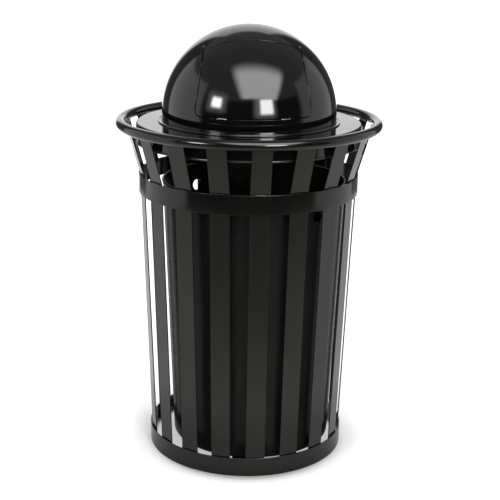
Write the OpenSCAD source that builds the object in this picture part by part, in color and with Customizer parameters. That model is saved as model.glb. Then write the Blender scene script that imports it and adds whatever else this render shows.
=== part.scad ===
// Round slatted litter bin with a domed lid, a push door and a lift-out liner.
// Millimetres. The floor is z = 0, the bin stands on the z axis and the door faces -y.

/* [Top ring] */
// Outside diameter of the tube ring round the mouth
ring_od = 711.2; // [700:0.1:722]
// Diameter of the ring's tube
ring_tube = 26.7; // [25:0.1:28]
// Height of the ring's centre line
ring_z = 907; // [900:1:914]

/* [Slats] */
// Width of each flat bar
slat_w = 50.8; // [40:0.1:54]
// Thickness of each flat bar
slat_t = 3.2; // [2.5:0.1:4]
// Angle of the flared top part of a slat from vertical
flare = 16; // [14:0.1:16]
// Height of the slats' top ends
slat_top = 902.5; // [890:0.5:902.5]
// Height of the slats' bottom ends
slat_foot = 3; // [1:0.5:10]
// Turn of the first slat from the door's centre line
cage_turn = 2.7; // [-10:0.1:10]

/* [Hoops] */
// Outside diameter of the middle band
band_od = 592; // [588:0.5:594]
// Outside diameter of the base hoop
base_od = 539; // [520:0.5:560]
// Height of both flat hoops
hoop_h = 50.8; // [38:0.1:60]
// Thickness of both flat hoops
hoop_t = 3.2; // [2.5:0.1:5]
// Height of the middle band's top edge
band_top = 773; // [760:1:776]

/* [Floor bars] */
// Width of the bars that carry the liner
bar_w = 38; // [25:1:38]
// Thickness of the bars
bar_t = 4.8; // [3:0.1:6]
// Height of the bars' top face
bar_top = 30; // [20:1:40]
// Angle between the two bars
bar_cross = 60; // [60:20:120]
// Diameter of the anchor hole at the crossing
anchor_d = 13.5; // [9:0.1:16]

/* [Liner] */
// Outside diameter of the liner's rolled rim
rim_od = 496; // [490:1:506]
// Height of the rim above the floor
rim_z = 756; // [740:1:768]
// Thickness of the rolled rim
rim_roll = 7; // [6:0.5:9]
// Outside diameter under the rim
neck_od = 491; // [484:1:494]
// Outside diameter at the bottom
foot_od = 434; // [420:1:440]
// How far the loose liner stands to the right of the middle
liner_right = 15; // [-15:1:15]
// How far the loose liner stands to the front of the middle
liner_front = 11; // [-11:1:11]
// Wall thickness
liner_t = 3; // [2:0.1:5]
// Diameter of the two finger holes
finger_d = 30; // [20:1:40]
// Height of the finger holes
finger_z = 694; // [650:1:710]
// Direction of the finger holes from the door's centre line
finger_turn = 39; // [0:1:90]

/* [Lid pan] */
// Outside diameter of the pan's skirt
skirt_od = 602; // [596:1:604]
// Height of the pan's flat top
pan_z = 909; // [905:1:912]
// Height of the skirt's lowest point
skirt_foot = 854.9; // [850:0.1:860]
// Radius of the rolled bead along the skirt's foot
bead_r = 3.5; // [2.5:0.1:4]
// Diameter of the hole in the pan
pan_hole = 444; // [430:1:446]
// Sheet thickness of the pan, the dome and the door
sheet_t = 1.5; // [1:0.1:2]

/* [Dome] */
// Outside diameter of the dome
dome_d = 465.4; // [460:0.1:470]
// Height of the dome's centre
dome_z = 932.2; // [928:0.1:936]
// Outside diameter of the dome's flange
flange_od = 482; // [478:1:490]

/* [Door] */
// Half width of the door opening level with the dome's centre
door_half = 153.8; // [150:0.1:156]
// How much each side of the opening leans in, for each millimetre of height
door_taper = 0.162; // [0.1:0.001:0.18]
// Height of the opening's foot above the dome's centre
door_foot = 17; // [14:0.5:22]
// Angle of the plane that cuts the top of the opening
door_slope = 46; // [44:0.5:48]
// Distance of that plane from the dome's centre
door_reach = 57.4; // [54:0.1:59]
// Gap round the door
door_gap = 2.4; // [1.5:0.1:3]
// Corner radius at the door's foot
door_corner = 16; // [8:1:24]

/* [Hinge] */
// Distance of the hinge rod in front of the dome's centre
rod_y = 74; // [72:0.5:76]
// Height of the hinge rod above the dome's centre
rod_z = 163; // [161:0.5:165]
// Diameter of the hinge rod
rod_d = 8; // [6:0.5:8]
// Half length of the hinge rod
rod_half = 121; // [120:0.5:122]
// Running clearance, on the radius, between the rod and the door's bushes
run_gap = 0.05; // [0.02:0.01:0.09]
// Wire of the two door springs
wire_d = 1.6; // [1.2:0.1:1.8]

/* [Hidden] */
$fn = 96;

slat_count = 18;          // eighteen slats stand at one pitch round the bin
slat_pitch = 360 / slat_count;
touch = 0.1;              // gap left where welded pieces meet
clear = 0.3;              // gap left between pieces that come apart
STEEL = "#35342f";
GLOSS = "#141413";
BRIGHT = "#8d8f92";
RUBBER = "#1c1c1c";

// Distance from the axis of a flat face whose two long edges touch a round wall.
function flat_in(wall_r) = sqrt(pow(wall_r, 2) - pow(slat_w / 2, 2)) - touch;

// A point at radius r and angle a from the point c.
function polar(c, r, a) = [c[0] + r * cos(a), c[1] + r * sin(a)];

// The points of an arc, in n steps.
function arc(c, r, from, to, n = 6) = [for (k = [0:n]) polar(c, r, from + (to - from) * k / n)];

// Turns a radius-and-height outline into a bar of the given width that faces azimuth az.
module radial_bar(az, width) {
  rotate([0, 0, az - 90]) rotate([90, 0, 0])
    linear_extrude(width, center = true) children();
}

// ---------------------------------------------------------------- cage

ring_r = (ring_od - ring_tube) / 2;
band_in = band_od / 2 - hoop_t;
base_in = base_od / 2 - hoop_t;
slat_at_band = flat_in(band_in);
slat_at_base = flat_in(base_in);
lean = atan((slat_at_band - slat_at_base) / (band_top - hoop_h));
foot_r = slat_at_base - (hoop_h - slat_foot) * tan(lean);
bend_r = 12;              // radius inside the slats' bend
bend_c = [slat_at_band + bend_r * cos(lean), band_top - bend_r * sin(lean)];
bend_end = polar(bend_c, bend_r, 180 - flare);

// Distance of a slat's inner face from the axis at height z, above the bend.
function slat_inside(z) = bend_end[0] + (z - bend_end[1]) * tan(flare) - slat_t / cos(flare);

function slat_az(n) = cage_turn + (n - 1) * slat_pitch;

module top_ring() {
  color(STEEL) translate([0, 0, ring_z])
    rotate_extrude() translate([ring_r, 0]) circle(ring_tube / 2);
}

module hoop(od, foot) {
  translate([0, 0, foot]) difference() {
    cylinder(h = hoop_h, d = od);
    translate([0, 0, -1]) cylinder(h = hoop_h + 2, d = od - 2 * hoop_t);
  }
}

module band_hoop() { color(STEEL) hoop(band_od, band_top - hoop_h); }

module base_hoop() { color(STEEL) hoop(base_od, 0); }

module slat(n) {
  top_run = (slat_top - bend_end[1]) / cos(flare);
  outer_top = bend_end + top_run * [sin(flare), cos(flare)];
  inner_top = outer_top - slat_t * [cos(flare), -sin(flare)];
  outer_foot = [foot_r, slat_foot];
  inner_foot = outer_foot - slat_t * [cos(lean), -sin(lean)];
  outer = arc(bend_c, bend_r, 180 - lean, 180 - flare);
  inner = arc(bend_c, bend_r + slat_t, 180 - flare, 180 - lean);
  color(STEEL) radial_bar(slat_az(n), slat_w)
    polygon(concat([outer_foot], outer, [outer_top, inner_top], inner, [inner_foot]));
}

// The bars' ends stand midway between two slats, where they reach the base hoop.
bar_az = cage_turn - slat_pitch / 2;
bar_half = sqrt(pow(base_in, 2) - pow(bar_w / 2, 2)) - touch;

module bar_at(az, width) {
  rotate([0, 0, az]) translate([-width / 2, -bar_half, bar_top - bar_t])
    cube([width, 2 * bar_half, bar_t]);
}

module floor_bar() {
  color(STEEL) difference() {
    bar_at(bar_az, bar_w);
    translate([0, 0, bar_top - bar_t - 1]) cylinder(h = bar_t + 2, d = anchor_d);
  }
}

// Half of the second bar, butted against the edge of the first one.
module half_bar(side) {
  color(STEEL) difference() {
    bar_at(bar_az + bar_cross, bar_w);
    rotate([0, 0, bar_az]) translate([-bar_w / 2 - touch, -base_od, 0])
      cube([bar_w / 2 + touch + base_od, 2 * base_od, bar_top + bar_t]);
  }
}

module half_bar_back() { half_bar(); }

module half_bar_front() { rotate([0, 0, 180]) half_bar(); }

// Angle lugs inside every third slat, on which the lid's bead stands.
rest_w = 30;
rest_t = 3;
rest_in = skirt_od / 2 - 7;
rest_drop = 26;
rest_top = skirt_foot - clear;

module lid_rests() {
  under = rest_top - rest_t;
  foot = rest_top - rest_drop;
  wall = rest_t / cos(flare) + touch;
  color(STEEL) for (n = [2:3:slat_count]) radial_bar(slat_az(n), rest_w) polygon([
    [slat_inside(rest_top) - touch, rest_top], [rest_in, rest_top], [rest_in, under],
    [slat_inside(under) - wall, under], [slat_inside(foot) - wall, foot],
    [slat_inside(foot) - touch, foot]
  ]);
}

// ---------------------------------------------------------------- liner

liner_foot = bar_top + clear;
foot_round = 10;          // radius of the liner's bottom corner

// A tapered tub with a rolled rim, loose in the cage, so it stands a little off the middle.
module liner() {
  foot_r = foot_od / 2;
  neck_r = neck_od / 2;
  roll = rim_roll / 2;
  roll_c = [rim_od / 2 - roll, rim_z - roll];
  t = liner_t;
  out_a = acos((neck_r - roll_c[0]) / roll);
  in_a = acos((neck_r - t - roll_c[0]) / roll);
  color(GLOSS) translate([liner_right, -liner_front, 0]) difference() {
    rotate_extrude($fn = 180) polygon(concat(
      [[0, liner_foot]],
      arc([foot_r - foot_round, liner_foot + foot_round], foot_round, -90, 0),
      arc(roll_c, roll, -out_a, 360 - in_a, 14),
      arc([foot_r - foot_round, liner_foot + foot_round], foot_round - t, 0, -90),
      [[0, liner_foot + t]]
    ));
    rotate([0, 0, finger_turn]) translate([0, 0, finger_z]) rotate([90, 0, 0])
      cylinder(h = rim_od, d = finger_d, center = true);
  }
}

// ---------------------------------------------------------------- lid

dome_r = dome_d / 2;
dome_in = dome_r - sheet_t;
skirt_r = skirt_od / 2;
pan_round = 7;            // radius where the pan turns down into its skirt
flange_bead = 1.8;        // radius of the roll along the dome's flange

module lid_pan() {
  hole_r = pan_hole / 2;
  bead_c = [skirt_r - bead_r / 2, skirt_foot + bead_r];
  turn_c = [skirt_r - pan_round, pan_z - pan_round];
  color(GLOSS) union() {
    rotate_extrude() polygon(concat(
      [[hole_r, pan_z]],
      arc(turn_c, pan_round, 90, 0),
      [[skirt_r, bead_c[1]], [skirt_r - sheet_t, bead_c[1]]],
      arc(turn_c, pan_round - sheet_t, 0, 90),
      [[hole_r, pan_z - sheet_t]]
    ));
    rotate_extrude() translate(bead_c) circle(bead_r);
  }
}

// The opening's outline seen from the front, with both foot corners rounded.
function side_x(z, inset) = door_half - door_taper * z - inset;
function corner_c(inset) = let (
    r = door_corner - inset,
    slant = atan(door_taper),
    z = door_foot + inset + r
  ) [side_x(z, inset) - r / cos(slant), z];
function opening_outline(inset) = let (
    c = corner_c(inset),
    r = door_corner - inset,
    slant = atan(door_taper),
    right = arc(c, r, -90, slant),
    left = [for (k = [len(right) - 1:-1:0]) [-right[k][0], right[k][1]]]
  ) concat(right, [[side_x(dome_r, inset), dome_r], [-side_x(dome_r, inset), dome_r]], left);

// The solid that cuts the door opening, or the door with the gap as inset.
module door_block(inset) {
  translate([0, 0, dome_z]) difference() {
    translate([0, -rod_y / 2, 0]) rotate([90, 0, 0])
      linear_extrude(dome_d) polygon(opening_outline(inset));
    rotate([90 - door_slope, 0, 0]) translate([-dome_d, door_reach - inset, -dome_d])
      cube([2 * dome_d, dome_d, 2 * dome_d]);
  }
}

module dome() {
  drop = dome_z - pan_z;
  color(GLOSS) difference() {
    translate([0, 0, pan_z]) rotate_extrude() difference() {
      union() {
        translate([0, drop]) circle(dome_r);
        square([dome_r, drop]);
        square([flange_od / 2, sheet_t]);
        translate([flange_od / 2, flange_bead]) circle(flange_bead, $fn = 32);
      }
      translate([0, drop]) circle(dome_in);
      translate([-1, -1]) square([dome_in + 1, drop + 1]);
      translate([-dome_d, -dome_d]) square([dome_d, 3 * dome_d]);
      translate([0, -dome_d]) square([dome_d, dome_d]);
    }
    door_block(0);
    for (side = [-1, 1]) rivet_place(side) cylinder(h = 3 * dome_r, r = rivet_r, center = true);
  }
}

// A spherical shell about the dome's centre, between two radii.
module shell(inner, outer) {
  translate([0, 0, dome_z]) difference() {
    sphere(outer);
    sphere(inner);
  }
}

module door_panel() {
  color(GLOSS) intersection() {
    shell(dome_in, dome_r);
    door_block(door_gap);
  }
}

// ---------------------------------------------------------------- hinge

plate_t = 3;              // thickness of the ears and brackets
bush_t = 2;               // wall of the door's bushes
eye_r = 10;               // radius of the eye round the rod
ear_x = 98;               // the ears' inner face, from the centre plane
bracket_x = 114;          // the brackets' inner face, from the centre plane
foot_reach = 20;          // how far a bracket's foot runs out along the dome
foot_t = 2.5;             // thickness of a bracket's foot
rivet_r = 2.5;
rivet_head = 5;           // radius of a rivet's head
ear_lift = [47, 59.5];    // angles at which an ear meets the door, from the horizontal
bracket_lift = [64.5, 78]; // angles at which a bracket meets the dome
rod = [-rod_y, rod_z];

// A plate across the x axis that runs from the rod's eye to the inside of the dome.
module eye_plate(side, x, lift, hole_r) {
  far = dome_r + eye_r;
  reach = sqrt(pow(dome_in, 2) - pow(x, 2));
  middle = (lift[0] + lift[1]) / 2;
  aim = atan2(reach * sin(middle) - rod_z, rod_y - reach * cos(middle));
  inner = x < bracket_x ? touch : touch / 2;
  difference() {
    intersection() {
      translate([side * (x + plate_t / 2), 0, dome_z]) rotate([90, 0, 90]) union() {
        translate(rod) cylinder(h = plate_t, r = eye_r, center = true);
        linear_extrude(plate_t, center = true) polygon([
          polar(rod, eye_r, aim + 90), [-far * cos(lift[0]), far * sin(lift[0])],
          [-far * cos(lift[1]), far * sin(lift[1])], polar(rod, eye_r, aim - 90)
        ]);
      }
      translate([0, 0, dome_z]) sphere(dome_in - inner);
    }
    rod_bore(hole_r);
  }
}

module rod_bore(r) {
  translate([0, -rod_y, dome_z + rod_z]) rotate([0, 90, 0])
    cylinder(h = dome_d, r = r, center = true);
}

// A ring on the rod that starts at x and runs outward.
module rod_tube(side, x, length, outer, inner) {
  translate([side * (x + length / 2), -rod_y, dome_z + rod_z]) rotate([0, 90, 0])
    difference() {
      cylinder(h = length, r = outer, center = true);
      cylinder(h = length + 2, r = inner, center = true);
    }
}

// Stands a shape at a bracket's rivet, square to the dome.
rivet_az = 57.6;
rivet_lift = 50.7;
module rivet_place(side) {
  translate([0, 0, dome_z]) rotate([0, 0, side * rivet_az]) rotate([90 - rivet_lift, 0, 0])
    children();
}

module door_ear(side) {
  color(BRIGHT) eye_plate(side, ear_x, ear_lift, rod_d / 2 + bush_t);
}

module hinge_bracket(side) {
  wedge = dome_d;
  x0 = side > 0 ? bracket_x : -bracket_x - foot_reach;
  color(BRIGHT) difference() {
    union() {
      eye_plate(side, bracket_x, bracket_lift, rod_d / 2 + touch / 5);
      intersection() {
        shell(dome_in - foot_t, dome_in - touch / 2);
        translate([x0, 0, dome_z]) rotate([90, 0, 90]) linear_extrude(foot_reach)
          polygon([
            [0, 0], [-wedge * cos(bracket_lift[0]), wedge * sin(bracket_lift[0])],
            [-wedge * cos(bracket_lift[1]), wedge * sin(bracket_lift[1])]
          ]);
      }
    }
    rivet_place(side) cylinder(h = 3 * dome_r, r = rivet_r, center = true);
  }
}

module bracket_rivets() {
  grip = foot_t + sheet_t;
  color(GLOSS) for (side = [-1, 1]) rivet_place(side) {
    translate([0, 0, dome_r - grip - 1]) cylinder(h = grip + 1.5, r = rivet_r - touch / 2);
    translate([0, 0, dome_r + touch / 2]) cylinder(h = 1.8, r1 = rivet_head, r2 = rivet_r);
    translate([0, 0, dome_in - foot_t - 1.4]) cylinder(h = 1.2, r = rivet_head - 1);
  }
}

module hinge_rod() {
  color(BRIGHT) translate([0, -rod_y, dome_z + rod_z]) rotate([0, 90, 0])
    cylinder(h = 2 * rod_half, r = rod_d / 2, center = true);
}

module rod_clips() {
  color(BRIGHT) for (side = [-1, 1])
    rod_tube(side, bracket_x + plate_t + touch, 1.2, rod_d / 2 + 3, rod_d / 2 + touch / 5);
}

module ear_bush(side) {
  bore = rod_d / 2 + run_gap;
  color("#d8d6cc") {
    rod_tube(side, ear_x - 1, plate_t + 2, rod_d / 2 + bush_t - touch / 2, bore);
  }
}

// Close-wound turns round the rod. One leg hooks under the ear, the other behind the bracket.
spring_gap = 1;           // clearance between a spring's turns and the rod
spring_turns = 6;
spring_first = ear_x + plate_t + 2.2;
spring_pitch = wire_d + 0.03;
ear_leg = [233.2, 18.1];  // direction in the y-z plane and length of each leg
bracket_leg = [14.4, 21.6];
hook = 6.5;               // length of the bent end of a leg

// A straight leg that leaves the turns at x, with its bent end towards the plate it pushes.
module spring_leg(side, x, leg, turn, toward) {
  turn_r = rod_d / 2 + spring_gap + wire_d / 2;
  translate([side * x, -rod_y, dome_z + rod_z]) rotate([leg[0] - 90, 0, 0])
    translate([0, turn * turn_r, 0]) {
      cylinder(h = leg[1], d = wire_d, $fn = 24);
      translate([side * toward * (hook - wire_d) / 2, 0, leg[1] - wire_d / 3]) rotate([0, 90, 0])
        cylinder(h = hook, d = 0.9 * wire_d, center = true, $fn = 24);
    }
}

module door_spring(side) {
  turn_r = rod_d / 2 + spring_gap + wire_d / 2;
  last = spring_first + (spring_turns - 1) * spring_pitch;
  color(BRIGHT) {
    for (k = [1:spring_turns - 2])
      translate([side * (spring_first + k * spring_pitch), -rod_y, dome_z + rod_z])
        rotate([0, 90, 0]) rotate_extrude($fn = 48) translate([turn_r, 0])
          circle(wire_d / 2, $fn = 16);
    spring_leg(side, spring_first, ear_leg, -1, -1);
    spring_leg(side, last, bracket_leg, 1, 1);
  }
}

// ---------------------------------------------------------------- door stops

tab_x = 80;
tab_w = 24;
tab_z = [4, 42];          // heights of the tab's ends above the dome's centre
tab_t = 2;
tab_depth = 3.2;          // distance of the tab behind the dome's inner face

module front_slab(side, width, low, high) {
  translate([side * tab_x - width / 2, -dome_d, dome_z + low])
    cube([width, dome_d, high - low]);
}

// A joggled tab on the door, whose foot stands behind the dome below the opening.
module stop_tab(side) {
  weld = door_foot + door_gap + 5;
  color(BRIGHT) union() {
    intersection() {
      shell(dome_in - tab_depth - tab_t, dome_in - tab_depth);
      front_slab(side, tab_w, tab_z[0], tab_z[1]);
    }
    intersection() {
      shell(dome_in - tab_depth - 0.8, dome_in - touch);
      front_slab(side, tab_w, weld, tab_z[1]);
    }
  }
}

module bumper(side) {
  color(RUBBER) intersection() {
    shell(dome_in - tab_depth + touch / 2, dome_in - clear);
    front_slab(side, tab_w - 8, tab_z[0] + 1, door_foot - 2);
  }
}

module hinge_bracket_left() { hinge_bracket(-1); }
module hinge_bracket_right() { hinge_bracket(1); }
module door_ear_left() { door_ear(-1); }
module door_ear_right() { door_ear(1); }
module ear_bush_left() { ear_bush(-1); }
module ear_bush_right() { ear_bush(1); }
module spring_left() { door_spring(-1); }
module spring_right() { door_spring(1); }
module stop_tab_left() { stop_tab(-1); }
module stop_tab_right() { stop_tab(1); }
module bumper_left() { bumper(-1); }
module bumper_right() { bumper(1); }

top_ring();
band_hoop();
base_hoop();
slat(1);  // slat_01
slat(2);  // slat_02
slat(3);  // slat_03
slat(4);  // slat_04
slat(5);  // slat_05
slat(6);  // slat_06
slat(7);  // slat_07
slat(8);  // slat_08
slat(9);  // slat_09
slat(10);  // slat_10
slat(11);  // slat_11
slat(12);  // slat_12
slat(13);  // slat_13
slat(14);  // slat_14
slat(15);  // slat_15
slat(16);  // slat_16
slat(17);  // slat_17
slat(18);  // slat_18
floor_bar();
half_bar_front();
half_bar_back();
lid_rests();
liner();
lid_pan();
dome();
hinge_bracket_left();
hinge_bracket_right();
bracket_rivets();
hinge_rod();
rod_clips();
spring_left();
spring_right();
door_panel();
door_ear_left();
door_ear_right();
ear_bush_left();
ear_bush_right();
stop_tab_left();
stop_tab_right();
bumper_left();
bumper_right();
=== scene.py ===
"""Looks of a round slatted litter bin with a domed lid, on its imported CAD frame.

Sizes are in millimetres in this file, and become metres where a mesh is made.
"""
import math

import bpy
import numpy as np
from mathutils import Matrix, Vector
from mathutils.geometry import delaunay_2d_cdt


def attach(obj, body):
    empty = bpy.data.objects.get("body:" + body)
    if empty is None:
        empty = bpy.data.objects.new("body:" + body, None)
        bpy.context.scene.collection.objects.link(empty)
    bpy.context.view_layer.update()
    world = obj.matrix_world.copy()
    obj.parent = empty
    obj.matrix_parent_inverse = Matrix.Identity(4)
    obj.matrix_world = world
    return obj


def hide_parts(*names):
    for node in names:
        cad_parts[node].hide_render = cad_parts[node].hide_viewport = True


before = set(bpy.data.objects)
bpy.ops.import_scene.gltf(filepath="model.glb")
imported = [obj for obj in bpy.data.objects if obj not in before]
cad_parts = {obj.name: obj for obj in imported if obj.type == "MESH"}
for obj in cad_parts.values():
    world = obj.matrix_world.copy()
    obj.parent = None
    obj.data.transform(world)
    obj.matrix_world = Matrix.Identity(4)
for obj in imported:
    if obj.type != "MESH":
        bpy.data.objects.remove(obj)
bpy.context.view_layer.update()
MM = 0.001
TAU = 2 * math.pi
rad, deg = math.radians, math.degrees

# ------------------------------ sizes, as in the CAD source
RING_R, RING_TUBE, RING_Z = 342.25, 13.35, 907.0
SLAT_W, SLAT_T, FLARE, SLAT_TOP, SLAT_FOOT = 50.8, 3.2, 16.0, 902.5, 3.0
CAGE_TURN, PITCH, SLATS = 2.7, 20.0, 18
BAND_R, BASE_R, HOOP_H, HOOP_T, BAND_TOP = 296.0, 269.5, 50.8, 3.2, 773.0
BAR_W, BAR_T, BAR_TOP, BAR_CROSS, ANCHOR_R = 38.0, 4.8, 30.0, 60.0, 6.75
RIM_R, RIM_Z, RIM_ROLL, NECK_R = 248.0, 756.0, 3.5, 245.5
FOOT_R, FOOT_ROUND, LINER_T = 217.0, 10.0, 3.0
LINER_RIGHT, LINER_FRONT = 15.0, 11.0
FINGER_R, FINGER_Z, FINGER_TURN = 15.0, 694.0, 39.0
SKIRT_R, PAN_Z, SKIRT_FOOT, BEAD_R, PAN_HOLE, SHEET = 301.0, 909.0, 854.9, 3.5, 222.0, 1.5
DOME_R, DOME_Z, FLANGE_R = 232.7, 932.2, 241.0
DOOR_HALF, DOOR_TAPER, DOOR_FOOT, DOOR_SLOPE, DOOR_REACH = 153.8, 0.162, 17.0, 46.0, 57.4
DOOR_GAP, DOOR_CORNER = 2.4, 16.0
ROD_Y, ROD_Z, ROD_R = 74.0, 163.0, 4.0
EAR_X, PLATE_T = 98.0, 3.0
RIVET_AZ, RIVET_LIFT = 57.6, 50.7
WIRE_R = 0.8
TOUCH = 0.1            # gap left between welded pieces
UP = np.array((0, 0, 1.0))


# ------------------------------ mesh helpers
def make(name, verts, faces, mat, body, normals=None, replaces=()):
    """A mesh piece from millimetre points. normals, one per vertex, shade it."""
    me = bpy.data.meshes.new(name)
    me.from_pydata([(x * MM, y * MM, z * MM) for x, y, z in verts], [], faces)
    me.validate()
    me.polygons.foreach_set("use_smooth", [True] * len(me.polygons))
    if normals is not None:
        me.normals_split_custom_set_from_vertices([tuple(n) for n in normals])
    me.materials.append(mat)
    ob = bpy.data.objects.new(name, me)
    bpy.context.scene.collection.objects.link(ob)
    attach(ob, body)
    if replaces:
        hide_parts(*replaces)
    return ob


class Skin:
    """Gathers vertices with normals and faces, so that a piece can be made of several surfaces."""

    def __init__(self):
        self.v, self.n, self.f = [], [], []

    def add(self, verts, normals, faces):
        """Faces are turned, where needed, to look the way their normals do."""
        k = len(self.v)
        p, q = np.array(verts, float), np.array(normals, float)
        self.v += [tuple(row) for row in p]
        self.n += [tuple(row) for row in q]
        for f in faces:
            a, b, c = p[f[0]], p[f[1]], p[f[2]]
            if len(f) > 3:
                a, b, c = p[f[0]], p[f[len(f) // 3]], p[f[2 * len(f) // 3]]
            flip = np.cross(b - a, c - a) @ q[list(f)].sum(axis=0) < 0
            self.f.append(tuple(i + k for i in (f[::-1] if flip else f)))

    def grid(self, pts, nrm, wrap_u=False, wrap_v=False, skip=None):
        """pts[u][v]: a sheet of quads, closed on itself along u or v where asked."""
        nu, nv = len(pts), len(pts[0])
        flat = [p for row in pts for p in row]
        fn = [p for row in nrm for p in row]
        faces = []
        for u in range(nu if wrap_u else nu - 1):
            for v in range(nv if wrap_v else nv - 1):
                if skip and skip(u, v):
                    continue
                a, b = u * nv + v, ((u + 1) % nu) * nv + v
                c, d = ((u + 1) % nu) * nv + (v + 1) % nv, u * nv + (v + 1) % nv
                faces.append((a, b, c, d))
        self.add(flat, fn, faces)

    def make(self, name, mat, body, replaces=(), slot=None):
        return make(name, self.v, self.f, mat, body, self.n, replaces)


def rounded(points, radii, steps=5, closed=True):
    """A 2D outline with each corner turned into an arc: a list of (x, y, nx, ny).
    The outline runs so that its outside is on the right of each edge."""
    out = []
    n = len(points)
    for i in range(n):
        p = np.array(points[i], float)
        if not closed and i in (0, n - 1):
            q = np.array(points[1 if i == 0 else n - 2], float)
            t = (q - p) if i == 0 else (p - q)
            t /= np.linalg.norm(t)
            out.append((p[0], p[1], t[1], -t[0]))
            continue
        a, b = np.array(points[i - 1], float), np.array(points[(i + 1) % n], float)
        u, w = (p - a) / np.linalg.norm(p - a), (b - p) / np.linalg.norm(b - p)
        na = np.array([u[1], -u[0]])
        cross = u[0] * w[1] - u[1] * w[0]
        turn = math.atan2(cross, float(u @ w))
        r = radii[i] if hasattr(radii, "__len__") else radii
        if abs(turn) < 1e-4:
            out.append((p[0], p[1], na[0], na[1]))
            continue
        back = r * math.tan(abs(turn) / 2)
        start = p - u * back
        side = 1 if turn > 0 else -1
        centre = start - side * na * r
        for k in range(steps + 1):
            t = turn * k / steps
            c, s = math.cos(t), math.sin(t)
            nn = np.array([c * na[0] - s * na[1], s * na[0] + c * na[1]])
            q = centre + side * r * nn
            out.append((q[0], q[1], nn[0], nn[1]))
    return out


def revolve(skin, outline, segments, wrap=True, skip=None):
    """Turns (r, z, nr, nz) points about the z axis."""
    pts, nrm = [], []
    for i in range(segments):
        a = TAU * i / segments
        c, s = math.sin(a), -math.cos(a)
        pts.append([(r * c, r * s, z) for r, z, _, _ in outline])
        nrm.append([(nr * c, nr * s, nz) for _, _, nr, nz in outline])
    skin.grid(pts, nrm, wrap_u=True, wrap_v=wrap, skip=skip)


def circle(r, z, radius, count):
    """The outline of a round roll or tube, to be revolved."""
    return [(r + radius * math.cos(a), z + radius * math.sin(a), math.cos(a), math.sin(a))
            for a in (TAU * k / count for k in range(count))]


def tube(skin, path, radius, sides=12, ripple=None):
    """A round tube along path, closed at its ends. ripple(k) scales the radius at point k."""
    path = [np.array(p, float) for p in path]
    n = len(path)
    tang = []
    for k in range(n):
        t = path[min(k + 1, n - 1)] - path[max(k - 1, 0)]
        tang.append(t / np.linalg.norm(t))
    ref = np.array((1.0, 0, 0)) if abs(UP @ tang[0]) > 0.9 else UP
    x = np.cross(tang[0], ref)
    x /= np.linalg.norm(x)
    pts, nrm = [], []
    for k in range(n):
        t = tang[k]
        x = x - t * (x @ t)
        x /= np.linalg.norm(x)
        y = np.cross(t, x)
        r = radius * (ripple(k) if ripple else 1.0)
        ring, rn = [], []
        for j in range(sides):
            a = TAU * j / sides
            d = x * math.cos(a) + y * math.sin(a)
            ring.append(tuple(path[k] + d * r))
            rn.append(tuple(d))
        pts.append(ring)
        nrm.append(rn)
    skin.grid(pts, nrm, wrap_v=True)
    for k, sgn in ((0, -1), (n - 1, 1)):
        skin.add(pts[k] + [tuple(path[k])], [tuple(tang[k] * sgn)] * (sides + 1),
                 [(j, (j + 1) % sides, sides) for j in range(sides)])


def end_caps(skin, rows, direction):
    """Closes the two open ends of a bar whose sections are the first and last of rows."""
    for row, sgn in ((rows[0], -1), (rows[-1], 1)):
        skin.add(row, [tuple(direction * sgn)] * len(row), [tuple(range(len(row)))])


def at_azimuth(az):
    """Radial and sideways unit vectors for a place at that azimuth, seen from the door's centre line."""
    a = rad(az)
    return np.array((math.sin(a), -math.cos(a), 0.0)), np.array((math.cos(a), math.sin(a), 0.0))


def hash01(*k):
    """A fixed value from 0 to 1 for a set of numbers."""
    v = math.sin(sum((i + 1) * 12.9898 * float(x) for i, x in enumerate(k)) + 4.1) * 43758.5453
    return v - math.floor(v)


# ------------------------------ materials
class Nodes:
    """Short calls for building one node tree."""

    def __init__(self, tree):
        self.tree = tree
        tree.nodes.clear()

    def new(self, kind, **props):
        node = self.tree.nodes.new(kind)
        for key, value in props.items():
            setattr(node, key, value)
        return node

    def link(self, a, b):
        self.tree.links.new(a, b)

    def math(self, op, a, b=None, clamp=False):
        node = self.new("ShaderNodeMath", operation=op, use_clamp=clamp)
        for i, v in enumerate((a, b)):
            if v is None:
                continue
            if isinstance(v, (int, float)):
                node.inputs[i].default_value = v
            else:
                self.link(v, node.inputs[i])
        return node.outputs[0]

    def noise(self, vector, scale, detail=3.0, rough=0.5, distort=0.0):
        node = self.new("ShaderNodeTexNoise")
        self.link(vector, node.inputs["Vector"])
        for key, value in (("Scale", scale), ("Detail", detail), ("Roughness", rough),
                           ("Distortion", distort)):
            node.inputs[key].default_value = value
        return node.outputs["Fac"]

    def ramp(self, value, stops):
        node = self.new("ShaderNodeValToRGB")
        el = node.color_ramp.elements
        while len(el) < len(stops):
            el.new(0.5)
        for e, (pos, col) in zip(el, stops):
            e.position = pos
            e.color = (col, col, col, 1) if isinstance(col, (int, float)) else (*col, 1)
        self.link(value, node.inputs[0])
        return node.outputs[0]

    def smooth(self, value, lo, hi, at_lo, at_hi):
        """A smooth step from at_lo to at_hi while value goes from lo to hi."""
        node = self.new("ShaderNodeMapRange", interpolation_type="SMOOTHSTEP")
        self.link(value, node.inputs[0])
        for sock, v in zip(list(node.inputs)[1:5], (lo, hi, at_lo, at_hi)):
            sock.default_value = v
        return node.outputs[0]

    def mix(self, fac, a, b):
        node = self.new("ShaderNodeMix", data_type="RGBA")
        for sock, v in ((node.inputs[0], fac), (node.inputs[6], a), (node.inputs[7], b)):
            if isinstance(v, (int, float)):
                sock.default_value = v
            elif isinstance(v, tuple):
                sock.default_value = (*v, 1)
            else:
                self.link(v, sock)
        return node.outputs[2]

    def bump(self, height, strength, distance):
        node = self.new("ShaderNodeBump")
        node.inputs["Strength"].default_value = strength
        node.inputs["Distance"].default_value = distance
        self.link(height, node.inputs["Height"])
        return node.outputs[0]


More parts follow.
